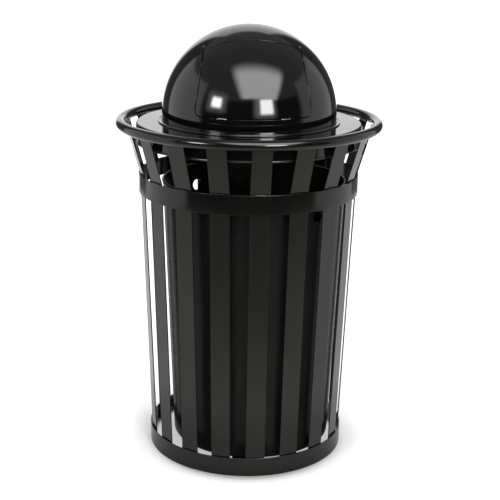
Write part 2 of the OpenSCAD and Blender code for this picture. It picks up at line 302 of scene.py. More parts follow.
def material(name, build, **fixed):
    """A material on one Principled shader. fixed sets plain sockets, and build(n, place, shader)
    adds the rest."""
    mat = bpy.data.materials.new(name)
    mat.use_nodes = True
    n = Nodes(mat.node_tree)
    out = n.new("ShaderNodeOutputMaterial")
    sh = n.new("ShaderNodeBsdfPrincipled")
    n.link(sh.outputs[0], out.inputs[0])
    for key, value in fixed.items():
        sock = sh.inputs[key.replace("_", " ")]
        sock.default_value = (*value, 1) if isinstance(value, tuple) else value
    place = n.new("ShaderNodeTexCoord").outputs["Object"]
    build(n, place, sh)
    return mat


def coat(base, tint, rough, rough_var, peel, peel_scale, dust=0.0):
    """Powder coat: slow colour drift, orange peel, faint scuffs and, where asked, dust that thins
    out from the floor up."""
    def build(n, place, sh):
        drift = n.noise(place, 6.0, 4.0, 0.55)
        spots = n.noise(place, 420.0, 2.0, 0.5)
        col = n.mix(n.ramp(drift, [(0.35, 0.0), (0.65, 1.0)]), base, tint)
        if dust:
            sep = n.new("ShaderNodeSeparateXYZ")
            n.link(place, sep.inputs[0])
            low = n.smooth(sep.outputs[2], 0.0, DUST_TOP, 1.0, 0.15)
            patches = n.ramp(n.noise(place, 38.0, 6.0, 0.65), [(0.42, 0.0), (0.75, 1.0)])
            film = n.math("MULTIPLY", low, patches)
            col = n.mix(n.math("MULTIPLY", film, dust), col, DUST)
        n.link(col, sh.inputs["Base Color"])
        scuff = n.ramp(n.noise(place, 55.0, 8.0, 0.7, 0.6), [(0.55, 0.0), (0.72, 1.0)])
        r = n.math("ADD", n.math("MULTIPLY", scuff, rough_var), n.math("MULTIPLY", spots, rough_var * 0.5))
        n.link(n.math("ADD", r, rough, clamp=True), sh.inputs["Roughness"])
        fine = n.noise(place, peel_scale, 2.0, 0.5)
        n.link(n.bump(fine, 1.0, peel), sh.inputs["Normal"])
    return build


DUST, DUST_TOP = (0.20, 0.185, 0.165), 0.32     # its colour, and the height where it has thinned out
CAGE_BLACK = (0.0013, 0.0013, 0.0012), (0.0025, 0.0024, 0.0021)
LID_BLACK = (0.0009, 0.0009, 0.0009), (0.0017, 0.0017, 0.0016)
CAGE = material("cage_powder_coat", coat(*CAGE_BLACK, 0.09, 0.05, 0.000012, 230.0, 0.008), IOR=1.46)
WELD = material("cage_weld", coat(*CAGE_BLACK, 0.17, 0.06, 0.00006, 420.0, 0.008), IOR=1.46)
LID = material("lid_gloss_coat", coat(*LID_BLACK, 0.035, 0.03, 0.000003, 160.0), IOR=1.52)
DOOR = material("door_gloss_coat", coat(*LID_BLACK, 0.045, 0.03, 0.000003, 150.0), IOR=1.52)


def moulded(n, place, sh):
    """Blow-moulded polyethylene: faint vertical flow, fine grain and handling marks."""
    stretch = n.new("ShaderNodeMapping")
    stretch.inputs["Scale"].default_value = (1.0, 1.0, 0.12)
    n.link(place, stretch.inputs["Vector"])
    flow = n.noise(stretch.outputs[0], 30.0, 5.0, 0.6)
    grain = n.noise(place, 900.0, 2.0, 0.5)
    col = n.mix(n.ramp(flow, [(0.35, 0.0), (0.7, 1.0)]), (0.0042, 0.0039, 0.0040), (0.0075, 0.0069, 0.0069))
    n.link(col, sh.inputs["Base Color"])
    marks = n.ramp(n.noise(place, 26.0, 9.0, 0.72, 1.2), [(0.52, 0.0), (0.75, 1.0)])
    n.link(n.math("ADD", n.math("MULTIPLY", marks, 0.06), 0.27), sh.inputs["Roughness"])
    height = n.math("ADD", flow, n.math("MULTIPLY", grain, 0.05))
    n.link(n.bump(height, 0.35, 0.00020), sh.inputs["Normal"])


LINER = material("liner_polyethylene", moulded, IOR=1.5, Specular_IOR_Level=0.12)


def metal(base, tint, rough, brush):
    """Zinc plate or spring wire: cloudy spangle, fine drawing lines."""
    def build(n, place, sh):
        cloud = n.noise(place, 120.0, 4.0, 0.6, 0.4)
        col = n.mix(n.ramp(cloud, [(0.3, 0.0), (0.7, 1.0)]), base, tint)
        n.link(col, sh.inputs["Base Color"])
        lines = n.new("ShaderNodeMapping")
        lines.inputs["Scale"].default_value = brush
        n.link(place, lines.inputs["Vector"])
        fine = n.noise(lines.outputs[0], 900.0, 3.0, 0.6)
        n.link(n.math("ADD", n.math("MULTIPLY", fine, 0.22), rough), sh.inputs["Roughness"])
        n.link(n.bump(fine, 0.35, 0.00008), sh.inputs["Normal"])
    return build


ZINC = material("zinc_plate", metal((0.42, 0.42, 0.41), (0.62, 0.61, 0.57), 0.24, (1.0, 0.08, 1.0)),
                Metallic=1.0)
WIRE = material("spring_wire", metal((0.30, 0.30, 0.30), (0.46, 0.45, 0.43), 0.22, (0.1, 1.0, 1.0)),
                Metallic=1.0)


def plain_moulding(base, tint, rough, scale):
    """Nylon or rubber: cloudy colour and a fine matt grain."""
    def build(n, place, sh):
        n.link(n.mix(n.noise(place, scale, 4.0, 0.6), base, tint), sh.inputs["Base Color"])
        fine = n.noise(place, scale * 9, 3.0, 0.6)
        n.link(n.math("ADD", n.math("MULTIPLY", fine, 0.2), rough), sh.inputs["Roughness"])
        n.link(n.bump(fine, 0.4, 0.0001), sh.inputs["Normal"])
    return build


NYLON = material("nylon_bush", plain_moulding((0.62, 0.60, 0.54), (0.78, 0.76, 0.70), 0.38, 90.0),
                 IOR=1.53)
RUBBER = material("bumper_rubber",
                  plain_moulding((0.012, 0.012, 0.012), (0.022, 0.021, 0.020), 0.62, 70.0), IOR=1.5)

# ------------------------------ cage
band_in, base_in = BAND_R - HOOP_T, BASE_R - HOOP_T


def flat_in(r):
    """How far out a slat's flat face lies inside a hoop of inner radius r."""
    return math.sqrt(r * r - (SLAT_W / 2) ** 2) - TOUCH


slat_at_band, slat_at_base = flat_in(band_in), flat_in(base_in)
lean = math.atan((slat_at_band - slat_at_base) / (BAND_TOP - HOOP_H))
foot_r = slat_at_base - (HOOP_H - SLAT_FOOT) * math.tan(lean)
BEND_R, EDGE, EDGE_STEPS = 12.0, 0.9, 4     # the slats' bend, and the softened edge of flat bar
flare = rad(FLARE)
bend_c = (slat_at_band + BEND_R * math.cos(lean), BAND_TOP - BEND_R * math.sin(lean))


def slat_path(steps=8):
    """Points (r, z) of a slat's outer face with its outward direction, from foot to top."""
    out = [((foot_r, SLAT_FOOT), (math.cos(lean), -math.sin(lean)))]
    for k in range(steps + 1):
        a = math.pi - lean + (math.pi - flare - (math.pi - lean)) * k / steps
        p = (bend_c[0] + BEND_R * math.cos(a), bend_c[1] + BEND_R * math.sin(a))
        out.append((p, (-math.cos(a), -math.sin(a))))
    (x, z), _ = out[-1]
    run = (SLAT_TOP - z) / math.cos(flare)
    out.append(((x + run * math.sin(flare), SLAT_TOP), (math.cos(flare), -math.sin(flare))))
    return out


def slat(n):
    """A flat bar with rolled edges, bent once above the band."""
    az = CAGE_TURN + (n - 1) * PITCH
    radial, side = at_azimuth(az)
    half = SLAT_W / 2
    # outline in (sideways, inward) with the outside on the right of each edge
    box = rounded([(half, 0), (half, SLAT_T), (-half, SLAT_T), (-half, 0)], EDGE, EDGE_STEPS)
    path = slat_path()
    s = Skin()
    pts, nrm = [], []
    for (r, z), (dr, dz) in path:
        out = radial * dr + UP * dz
        base = radial * r + UP * z
        pts.append([tuple(base + side * u - out * v) for u, v, _, _ in box])
        nrm.append([tuple(side * nu - out * nv) for _, _, nu, nv in box])
    s.grid(pts, nrm, wrap_v=True)
    end_caps(s, pts, UP)
    return s.make(f"slat_{n:02d}_bar", CAGE, "cage", [f"slat_{n:02d}"], "cage_paint")


for index in range(1, SLATS + 1):
    slat(index)


def flat_hoop(name, radius, foot, node):
    """A rolled hoop of flat bar with softened edges."""
    s = Skin()
    outline = rounded([(radius - HOOP_T, foot), (radius, foot), (radius, foot + HOOP_H),
                       (radius - HOOP_T, foot + HOOP_H)], EDGE, EDGE_STEPS)
    revolve(s, outline, 288)
    return s.make(name, CAGE, "cage", [node], "cage_paint")


flat_hoop("band_hoop_bar", BAND_R, BAND_TOP - HOOP_H, "band_hoop")
flat_hoop("base_hoop_bar", BASE_R, 0.0, "base_hoop")

s = Skin()
revolve(s, circle(RING_R, RING_Z, RING_TUBE, 40), 320)
s.make("top_ring_tube", CAGE, "cage", ["top_ring"], "cage_paint")


PUDDLE = 1.4                               # length of bead from one weld puddle to the next
TOP_BEAD, EDGE_BEAD, END_BEAD = 1.9, 1.7, 1.6    # radii of beads on hoops and ring, slat edges and bar ends
RING_RUN, BAND_RUN, BASE_RUN, BAR_RUN, REST_RUN = 44, 26, 30, 34, 26    # lengths of beads


def puddle(k, n, seed):
    """Two shares of a bead's thickness at point k of n: its tapered ends and its ripple."""
    end = min(1.0, 0.35 + 0.65 * min(k, n - k) / 2.0)
    return end, 0.86 + 0.14 * abs(math.cos(k * 1.35 + seed))


def bead(skin, a, b, radius, seed):
    """A straight weld bead: a string of small overlapping puddles."""
    a, b = np.array(a, float), np.array(b, float)
    n = max(6, int(np.linalg.norm(b - a) / PUDDLE))
    path = []
    for k in range(n + 1):
        wob = np.array([hash01(seed, k, j) - 0.5 for j in range(3)]) * radius * 0.12
        path.append(a + (b - a) * (k / n) + wob)

    def size(k):
        end, ripple = puddle(k, n, seed)
        return end * (ripple + 0.08 * (hash01(seed, k) - 0.5))
    tube(skin, path, radius, 8, ripple=size)


def arc_bead(skin, r, z, az, span, radius, seed):
    """A bead that follows a round wall at height z."""
    n = max(6, int(span / PUDDLE))
    path = []
    for k in range(n + 1):
        radial, _ = at_azimuth(az + deg((k / n - 0.5) * span / r))
        out = (hash01(seed, k) - 0.5) * radius * 0.2
        rise = (hash01(seed, k, 7) - 0.5) * radius * 0.15
        path.append(radial * (r + out) + UP * (z + rise))
    tube(skin, path, radius, 8, ripple=lambda k: math.prod(puddle(k, n, seed)))


ring_welds, band_welds, base_welds, bar_welds = Skin(), Skin(), Skin(), Skin()
top_point = slat_path()[-1][0]
for index in range(SLATS):
    az = CAGE_TURN + index * PITCH
    radial, side = at_azimuth(az)
    # under the ring, along the slat's outer and inner face
    for shift, lift, seed in ((0.4, -0.6, 1), (-SLAT_T / math.cos(flare) - 0.6, -3.4, 2)):
        c = radial * (top_point[0] + shift) + UP * (SLAT_TOP + lift)
        bead(ring_welds, c - side * RING_RUN / 2, c + side * RING_RUN / 2, TOP_BEAD, index * 3 + seed)
    # down both edges of the slat inside the hoops, then along the band's top and the base's foot
    for sgn in (-1, 1):
        r0 = slat_at_band - 0.6
        beside = side * sgn * (SLAT_W / 2 + 0.8)
        for z0, z1 in ((BAND_TOP - 16, BAND_TOP - 3), (BAND_TOP - HOOP_H + 3, BAND_TOP - HOOP_H + 16)):
            drop = [(BAND_TOP - z) * math.tan(lean) for z in (z0, z1)]
            a = radial * (r0 - drop[0]) + beside + UP * z0
            b = radial * (r0 - drop[1]) + beside + UP * z1
            bead(band_welds, a, b, EDGE_BEAD, index * 5 + sgn)
        a = radial * (slat_at_base - 1.4) + beside + UP * (HOOP_H - 3)
        b = radial * (slat_at_base - 2.2) + beside + UP * (HOOP_H - 20)
        bead(base_welds, a, b, EDGE_BEAD, index * 7 + sgn)
    arc_bead(band_welds, band_in + 0.6, BAND_TOP + 0.3, az, BAND_RUN, TOP_BEAD, index * 11)
    arc_bead(base_welds, base_in - 0.4, 3.4, az, BASE_RUN, TOP_BEAD, index * 13)


def bar_piece(name, node, az, start, end, hole=False):
    """A flat floor bar with softened edges, from start to end along its azimuth."""
    radial, side = at_azimuth(az)
    s = Skin()
    half = BAR_W / 2
    under = BAR_TOP - BAR_T
    box = rounded([(-half, under), (half, under), (half, BAR_TOP), (-half, BAR_TOP)], EDGE, EDGE_STEPS)
    box_n = [tuple(side * nu + UP * nz) for _, _, nu, nz in box]

    def station(t):
        return [tuple(radial * t + side * u + UP * z) for u, z, _, _ in box]

    if hole:
        # the middle of the bar has a ring of quads round the hole on both flat faces
        s.grid([station(start), station(-half)], [box_n] * 2, wrap_v=True)
        s.grid([station(half), station(end)], [box_n] * 2, wrap_v=True)
        flat_u = half - EDGE
        ring_n = 48
        for z, sgn in ((BAR_TOP, 1), (under, -1)):
            inner, outer = [], []
            for k in range(ring_n):
                a = TAU * k / ring_n + math.pi / 4
                c, q = math.cos(a), math.sin(a)
                m = max(abs(c) / half, abs(q) / flat_u)
                inner.append(tuple(radial * c * ANCHOR_R + side * q * ANCHOR_R + UP * z))
                outer.append(tuple(radial * c / m + side * q / m + UP * z))
            nn = [(0, 0, sgn)] * ring_n
            s.grid([inner, outer], [nn, nn], wrap_v=True)
        ring = [radial * math.cos(a) + side * math.sin(a) for a in (TAU * k / ring_n for k in range(ring_n))]
        lo = [tuple(d * ANCHOR_R + UP * under) for d in ring]
        hi = [(x, y, BAR_TOP) for x, y, _ in lo]
        nn = [tuple(-d) for d in ring]
        s.grid([lo, hi], [nn, nn], wrap_v=True)
        for sgn in (-1, 1):
            strip = [(u, z, nu, nz) for u, z, nu, nz in box if u * sgn > flat_u - 1e-6]
            strip.sort(key=lambda q: q[1])
            s.grid([[tuple(radial * t + side * u + UP * z) for u, z, _, _ in strip] for t in (-half, half)],
                   [[tuple(side * nu + UP * nz) for _, _, nu, nz in strip]] * 2)
    else:
        s.grid([station(start), station(end)], [box_n] * 2, wrap_v=True)
    end_caps(s, [station(start), station(end)], radial)
    return s.make(name, CAGE, "cage", [node], "cage_paint")


bar_az = CAGE_TURN - PITCH / 2
bar_half = math.sqrt(base_in ** 2 - (BAR_W / 2) ** 2) - TOUCH
bar_piece("floor_bar_full", "floor_bar", bar_az, -bar_half, bar_half, hole=True)
butt = BAR_W / 2 / math.sin(rad(BAR_CROSS)) + BAR_W / 2 / math.tan(rad(BAR_CROSS))
bar_piece("floor_bar_front_half", "half_bar_front", bar_az + BAR_CROSS, butt + 0.2, bar_half)
bar_piece("floor_bar_back_half", "half_bar_back", bar_az + BAR_CROSS, -bar_half, -butt - 0.2)
for az in (bar_az, bar_az + BAR_CROSS):
    for turn in (0, 180):
        radial, side = at_azimuth(az + turn)
        for z in (BAR_TOP - 0.3, BAR_TOP - BAR_T - 0.6):
            c = radial * (bar_half + TOUCH) + UP * z
            bead(bar_welds, c - side * BAR_RUN / 2, c + side * BAR_RUN / 2, END_BEAD, az + turn + z)

slat_top_in = top_point[0] - SLAT_T / math.cos(flare)


def slat_inside(z):
    """Radius of a slat's inner face at height z, above the bend."""
    return slat_top_in - (SLAT_TOP - z) * math.tan(flare)


# lid rests: small bent lugs on every third slat
REST_W, REST_T, REST_IN, REST_DROP = 30.0, 3.0, SKIRT_R - 7, 26.0
REST_TOP = SKIRT_FOOT - 0.3
s = Skin()
for n in range(2, SLATS + 1, 3):
    radial, side = at_azimuth(CAGE_TURN + (n - 1) * PITCH)
    under, foot = REST_TOP - REST_T, REST_TOP - REST_DROP
    wall = REST_T / math.cos(flare) + TOUCH
    prof = rounded([(REST_IN, REST_TOP), (REST_IN, under), (slat_inside(under) - wall, under),
                    (slat_inside(foot) - wall, foot), (slat_inside(foot) - TOUCH, foot),
                    (slat_inside(REST_TOP) - TOUCH, REST_TOP)], [0.6, 0.6, 3.0, 0.6, 0.6, 2.5], 4)
    rows = [[tuple(radial * r + side * u + UP * z) for r, z, _, _ in prof]
            for u in (-REST_W / 2, REST_W / 2)]
    nn = [tuple(radial * nr + UP * nz) for _, _, nr, nz in prof]
    s.grid(rows, [nn, nn], wrap_v=True)
    end_caps(s, rows, side)
    c = radial * (slat_inside(foot) - 1.2) + UP * (foot - 0.5)
    bead(base_welds, c - side * REST_RUN / 2, c + side * REST_RUN / 2, END_BEAD, n * 3.3)
s.make("lid_rest_lugs", CAGE, "cage", ["lid_rests"], "cage_paint")
ring_welds.make("ring_weld_beads", WELD, "cage", slot="cage_paint")
band_welds.make("band_weld_beads", WELD, "cage", slot="cage_paint")
base_welds.make("base_weld_beads", WELD, "cage", slot="cage_paint")
bar_welds.make("bar_weld_beads", WELD, "cage", slot="cage_paint")

# ------------------------------ liner
LINER_FOOT = BAR_TOP + 0.3
SEG = 360                                              # facets round the liner
ROLL_R, ROLL_Z = RIM_R - RIM_ROLL, RIM_Z - RIM_ROLL    # middle of the rolled rim
WALL_LO = LINER_FOOT + FOOT_ROUND
WALL_HI = ROLL_Z - math.sqrt(RIM_ROLL ** 2 - (NECK_R - ROLL_R) ** 2)
WINDOW, WINDOW_STEPS = 24.0, 8     # half the size of the square left open round a finger hole, and its rows


def wall_r(z, inset=0.0):
    """Radius of the liner's wall at height z, inset from its outer face."""
    return FOOT_R + (NECK_R - FOOT_R) * (z - WALL_LO) / (WALL_HI - WALL_LO) - inset


def corner(c, r, a0, a1, steps, flip=1):
    """An arc of an outline; flip -1 turns its normals to the inside."""
    out = []
    for k in range(steps + 1):
        a = rad(a0 + (a1 - a0) * k / steps)
        out.append((c[0] + r * math.cos(a), c[1] + r * math.sin(a), flip * math.cos(a), flip * math.sin(a)))
    return out


def finger_hole(s, az, half, slope):
    """Fills the window at azimuth az round a finger hole. half is half its width in facets."""
    radial, _ = at_azimuth(az)
    lo, hi = FINGER_Z - WINDOW, FINGER_Z + WINDOW
    zs = [lo + (hi - lo) * k / WINDOW_STEPS for k in range(WINDOW_STEPS + 1)]
    us = list(range(-half, half + 1))
    edge = ([(u, lo) for u in us] + [(half, z) for z in zs[1:]]
            + [(u, hi) for u in us[::-1][1:]] + [(-half, z) for z in zs[::-1][1:-1]])
    loops = {}
    for inset, sgn in ((0.0, 1), (LINER_T, -1)):
        # the window's edge, then rings that close in on the hole
        flat = [((u * TAU / SEG) * wall_r(z, inset), z - FINGER_Z) for u, z in edge]
        rings_p, rings_n = [], []
        for w in (1.0, 0.66, 0.33, 0.1, 0.0):
            row_p, row_n = [], []
            for x, z in flat:
                d = math.hypot(x, z)
                hx, hz = x / d * FINGER_R, z / d * FINGER_R
                across, height = hx + (x - hx) * w, FINGER_Z + hz + (z - hz) * w
                r = wall_r(height, inset)
                a = rad(az) + across / r
                row_p.append((r * math.sin(a), -r * math.cos(a), height))
                row_n.append((sgn * math.cos(slope) * math.sin(a), -sgn * math.cos(slope) * math.cos(a),
                              -sgn * math.sin(slope)))
            rings_p.append(row_p)
            rings_n.append(row_n)
        s.grid(rings_p, rings_n, wrap_v=True)
        loops[inset] = rings_p[-1]
    mid = radial * wall_r(FINGER_Z) + UP * FINGER_Z
    inward = []
    for p in loops[0.0]:
        d = mid - np.array(p)
        d -= radial * (d @ radial)
        inward.append(tuple(d / np.linalg.norm(d)))
    s.grid([loops[0.0], loops[LINER_T]], [inward, inward], wrap_v=True)


def liner():
    """A tapered tub with a rolled rim and two finger holes, standing off the cage's middle."""
    s = Skin()
    slope = math.atan((NECK_R - FOOT_R) / (WALL_HI - WALL_LO))
    lo, hi = FINGER_Z - WINDOW, FINGER_Z + WINDOW
    levels = [WALL_LO, (WALL_LO + lo) / 2]
    first = len(levels)
    levels += [lo + (hi - lo) * k / WINDOW_STEPS for k in range(WINDOW_STEPS + 1)] + [WALL_HI]

    def side_strip(inset, flip):
        nr, nz = flip * math.cos(slope), -flip * math.sin(slope)
        return [(wall_r(z, inset), z, nr, nz) for z in levels]

    foot_c = (FOOT_R - FOOT_ROUND, WALL_LO)
    outer = ([(0.01, LINER_FOOT, 0, -1), (FOOT_R * 0.6, LINER_FOOT, 0, -1)]
             + corner(foot_c, FOOT_ROUND, -90, -2, 8))
    out_a = deg(math.acos((NECK_R - ROLL_R) / RIM_ROLL))
    in_a = deg(math.acos((NECK_R - LINER_T - ROLL_R) / RIM_ROLL))
    rim = corner((ROLL_R, ROLL_Z), RIM_ROLL, -out_a, 360 - in_a, 24)
    floor_z = LINER_FOOT + LINER_T
    inner = (corner(foot_c, FOOT_ROUND - LINER_T, -2, -90, 8, -1)
             + [(FOOT_R * 0.6, floor_z, 0, 1), (0.01, floor_z, 0, 1)])
    outer_side, inner_side = side_strip(0, 1), side_strip(LINER_T, -1)[::-1]
    revolve(s, outer + [outer_side[0]], SEG, wrap=False)
    revolve(s, rim + [inner_side[0]], SEG, wrap=False)
    revolve(s, [inner_side[-1]] + inner, SEG, wrap=False)
    # the walls, left open in two windows where the finger holes are
    half = int(round(WINDOW / (wall_r(FINGER_Z) * TAU / SEG)))
    centres = [int(round((FINGER_TURN + turn) / 360 * SEG)) % SEG for turn in (0, 180)]

    def in_window(u, v, top_first):
        lev = len(levels) - 2 - v if top_first else v
        return (first <= lev < first + WINDOW_STEPS
                and any((u - c + half) % SEG < 2 * half for c in centres))

    for strip, top_first in ((outer_side, False), (inner_side, True)):
        revolve(s, strip, SEG, wrap=False, skip=lambda u, v, t=top_first: in_window(u, v, t))
    for c in centres:
        finger_hole(s, c * 360 / SEG, half, slope)
    s.v = [(x + LINER_RIGHT, y - LINER_FRONT, z) for x, y, z in s.v]
    return s.make("liner_tub", LINER, "liner", ["liner"], "liner_plastic")


liner()

# ------------------------------ lid
LID_SEG = 320
s = Skin()
bead_c = (SKIRT_R - BEAD_R / 2, SKIRT_FOOT + BEAD_R)
lower = rounded([(PAN_HOLE, PAN_Z - SHEET), (SKIRT_R - SHEET, PAN_Z - SHEET), (SKIRT_R - SHEET, bead_c[1])],
                [0, 5.5, 0], 10, closed=False)
upper = rounded([(PAN_HOLE, PAN_Z), (SKIRT_R, PAN_Z), (SKIRT_R, bead_c[1])], [0, 7.0, 0], 12, closed=False)
revolve(s, [(r, z, -nr, -nz) for r, z, nr, nz in upper], LID_SEG, wrap=False)
revolve(s, [(r, z, -nr, -nz) for r, z, nr, nz in lower][::-1], LID_SEG, wrap=False)
revolve(s, [(PAN_HOLE, PAN_Z - SHEET, -1, 0), (PAN_HOLE, PAN_Z, -1, 0)], LID_SEG, wrap=False)
revolve(s, circle(*bead_c, BEAD_R, 20), LID_SEG)
s.make("lid_pan_shell", LID, "lid", ["lid_pan"], "lid_paint")


def opening(inset, step=3.0):
    """The door opening's outline in the x-z plane, relative to the dome's centre, anticlockwise."""
    r = DOOR_CORNER - inset
    slant = math.atan(DOOR_TAPER)
    zc = DOOR_FOOT + inset + r
    xc = DOOR_HALF - DOOR_TAPER * zc - inset - r / math.cos(slant)
    slope = rad(DOOR_SLOPE)
    corner_n, top_n, foot_n = 12, 90, 80
    pts = []
    a0, a1 = -math.pi / 2, slant
    for k in range(corner_n + 1):
        a = a0 + (a1 - a0) * k / corner_n
        pts.append((xc + r * math.cos(a), zc + r * math.sin(a)))

    def top_z(x):
        # where the cutting plane meets the sphere, above x
        c, q, h = math.cos(slope), math.sin(slope), DOOR_REACH - inset
        return h * c + math.sqrt(DOME_R ** 2 - x * x - h * h) * q

    # the slanting side, up to where it meets the cutting plane
    x0, z0 = pts[-1]
    lo, hi = z0, 220.0
    for _ in range(50):
        mid = (lo + hi) / 2
        x = DOOR_HALF - DOOR_TAPER * mid - inset
        lo, hi = (mid, hi) if mid < top_z(x) else (lo, mid)
    x1, z1 = DOOR_HALF - DOOR_TAPER * lo - inset, lo
    n = int((z1 - z0) / step)
    pts += [(x0 + (x1 - x0) * k / n, z0 + (z1 - z0) * k / n) for k in range(1, n)]
    left = [(-x, z) for x, z in pts][::-1]
    # over the top, down the left side and along the foot
    pts += [(x, top_z(x)) for x in (x1 * (1 - 2 * k / top_n) for k in range(top_n + 1))]
    pts += left
    return pts + [(-xc + 2 * xc * k / foot_n, DOOR_FOOT + inset) for k in range(1, foot_n)]


def dome_point(x, z, r):
    """The point at x, z on the front of a sphere of radius r about the dome's centre."""
    return (x, -math.sqrt(max(r * r - x * x - z * z, 0.0)), z)


def lifted(p):
    return (p[0], p[1], p[2] + DOME_Z)


def unit(p):
    v = np.array(p, float)
    return v / np.linalg.norm(v)


def inside(poly, x, y):
    """True where the point x, y lies inside the outline."""
    hit = False
    n = len(poly)
    for i in range(n):
        x1, y1 = poly[i]
        x2, y2 = poly[(i + 1) % n]
        if (y1 > y) != (y2 > y) and x < (x2 - x1) * (y - y1) / (y2 - y1) + x1:
            hit = not hit
    return hit


def edge_normals(loop, sign):
    """Sideways directions along a loop on the dome: sign 1 points out of the loop's area."""
    n = len(loop)
    out = []
    for i in range(n):
        t = np.array(loop[(i + 1) % n], float) - np.array(loop[i - 1], float)
        r = unit(loop[i])
        w = np.cross(t, r)
        out.append(tuple(sign * w / (np.linalg.norm(w) + 1e-12)))
    return out


SOFT = 0.5       # the cut edges' rounding
MARGIN = 3.0     # width free of inner mesh points beside a cut edge


def triangles(outlines, grid):
    """Flat triangles between closed outlines and the points of a grid."""
    edges, first = [], 0
    for outline in outlines:
        n = len(outline)
        edges += [(first + i, first + (i + 1) % n) for i in range(n)]
        first += n
    points = [Vector(p) for outline in outlines for p in outline] + [Vector(p) for p in grid]
    verts, _, faces, _, _, _ = delaunay_2d_cdt(points, edges, [], 1, 1e-6)
    return [(v.x, v.y) for v in verts], faces


def cut_edge(skin, loop, outward, steps=3):
    """The sheet's cut edge along a loop on the dome, rounded to its outer and inner face."""
    profile = []
    for k in range(2 * steps + 1):
        if k <= steps:
            a = math.pi / 2 * k / steps
            profile.append((SOFT * (1 - math.cos(a)), SOFT * math.sin(a), math.cos(a), math.sin(a)))
        else:
            a = math.pi / 2 * (k - steps) / steps
            profile.append((SHEET - SOFT * (1 - math.sin(a)), SOFT * math.cos(a), -math.sin(a), math.cos(a)))
    side = edge_normals(loop, outward)
    rows, rn = [], []
    for drop, out, n_up, n_out in profile:
        row, nr = [], []
        for p, q in zip(loop, side):
            u = unit(p)
            row.append(lifted(tuple(np.array(p) - u * drop + np.array(q) * out)))
            nr.append(tuple(u * n_up + np.array(q) * n_out))
        rows.append(row)
        rn.append(nr)
    skin.grid(rows, rn, wrap_v=True)


def door_panel():
    """The door: the piece of the dome that fills its opening, less the gap round it."""
    s = Skin()
    loop = opening(DOOR_GAP + SOFT)
    inner = opening(DOOR_GAP + SOFT + MARGIN)
    step = 7
    grid = [(float(x), float(z)) for x in range(-150, 151, step) for z in range(15, 216, step)
            if inside(inner, x, z)]
    verts, faces = triangles([loop], grid)
    for r, flip in ((DOME_R, 1), (DOME_R - SHEET, -1)):
        on_dome = [dome_point(a, b, r) for a, b in verts]
        s.add([lifted(p) for p in on_dome], [tuple(flip * unit(p)) for p in on_dome], faces)
    cut_edge(s, [dome_point(a, b, DOME_R) for a, b in loop], 1)
    return s.make("door_leaf", DOOR, "door", ["door_panel"], "lid_paint")


door_panel()


def flattened(p):
    """The map of the dome seen from its pole: degrees from the pole become distance."""
    u = unit(p)
    polar = deg(math.acos(max(-1, min(1, u[2]))))
    a = math.atan2(u[1], u[0])
    return (polar * math.cos(a), polar * math.sin(a))


def unflattened(x, y):
    polar, a = rad(math.hypot(x, y)), math.atan2(y, x)
    return np.array((math.sin(polar) * math.cos(a), math.sin(polar) * math.sin(a), math.cos(polar)))


def dome():
    """The hood: a half sphere with the door's opening, on a short collar with a flange."""
    s = Skin()
    seg, ring_step = 192, 2.5
    cut = [dome_point(a, b, DOME_R) for a, b in opening(-SOFT)]
    hole = [flattened(p) for p in cut]
    rim = [(90 * math.cos(TAU * k / seg), 90 * math.sin(TAU * k / seg)) for k in range(seg)]
    wide = [flattened(dome_point(a, b, DOME_R)) for a, b in opening(-SOFT - MARGIN)]
    grid = [(0.0, 0.0)]
    for ring in range(1, 36):
        polar = ring * ring_step
        count = max(12, int(seg * math.sin(rad(polar))))
        for k in range(count):
            a = TAU * (k + 0.5 * (ring % 2)) / count
            p = (polar * math.cos(a), polar * math.sin(a))
            if not inside(wide, *p):
                grid.append(p)
    verts, faces = triangles([rim, hole], grid)
    keep = [f for f in faces
            if not inside(hole, sum(verts[i][0] for i in f) / len(f), sum(verts[i][1] for i in f) / len(f))]
    us = [unflattened(*p) for p in verts]
    for r, flip in ((DOME_R, 1), (DOME_R - SHEET, -1)):
        s.add([lifted(tuple(u * r)) for u in us], [tuple(u * flip) for u in us], keep)
    cut_edge(s, cut, -1)
    # collar, foot fillet, flange and its rolled edge
    fillet, roll, foot = 3.0, 1.8, PAN_Z + 0.05
    top = PAN_Z + SHEET
    collar = [(DOME_R, DOME_Z, 1, 0), (DOME_R, top + fillet, 1, 0)]
    for k in range(1, 7):
        a = math.pi / 2 * k / 6
        collar.append((DOME_R + fillet - fillet * math.cos(a), top + fillet - fillet * math.sin(a),
                       math.cos(a), math.sin(a)))
    collar.append((FLANGE_R - 1.5, top, 0, 1))
    revolve(s, collar, seg * 2, wrap=False)
    revolve(s, circle(FLANGE_R, PAN_Z + roll, roll, 20), seg * 2)
    revolve(s, [(FLANGE_R, foot, 0, -1), (DOME_R - SHEET, foot, 0, -1)], seg, wrap=False)
    revolve(s, [(DOME_R - SHEET, foot, -1, 0), (DOME_R - SHEET, DOME_Z, -1, 0)], seg, wrap=False)
    return s.make("dome_shell", LID, "lid", ["dome"], "lid_paint")


dome()


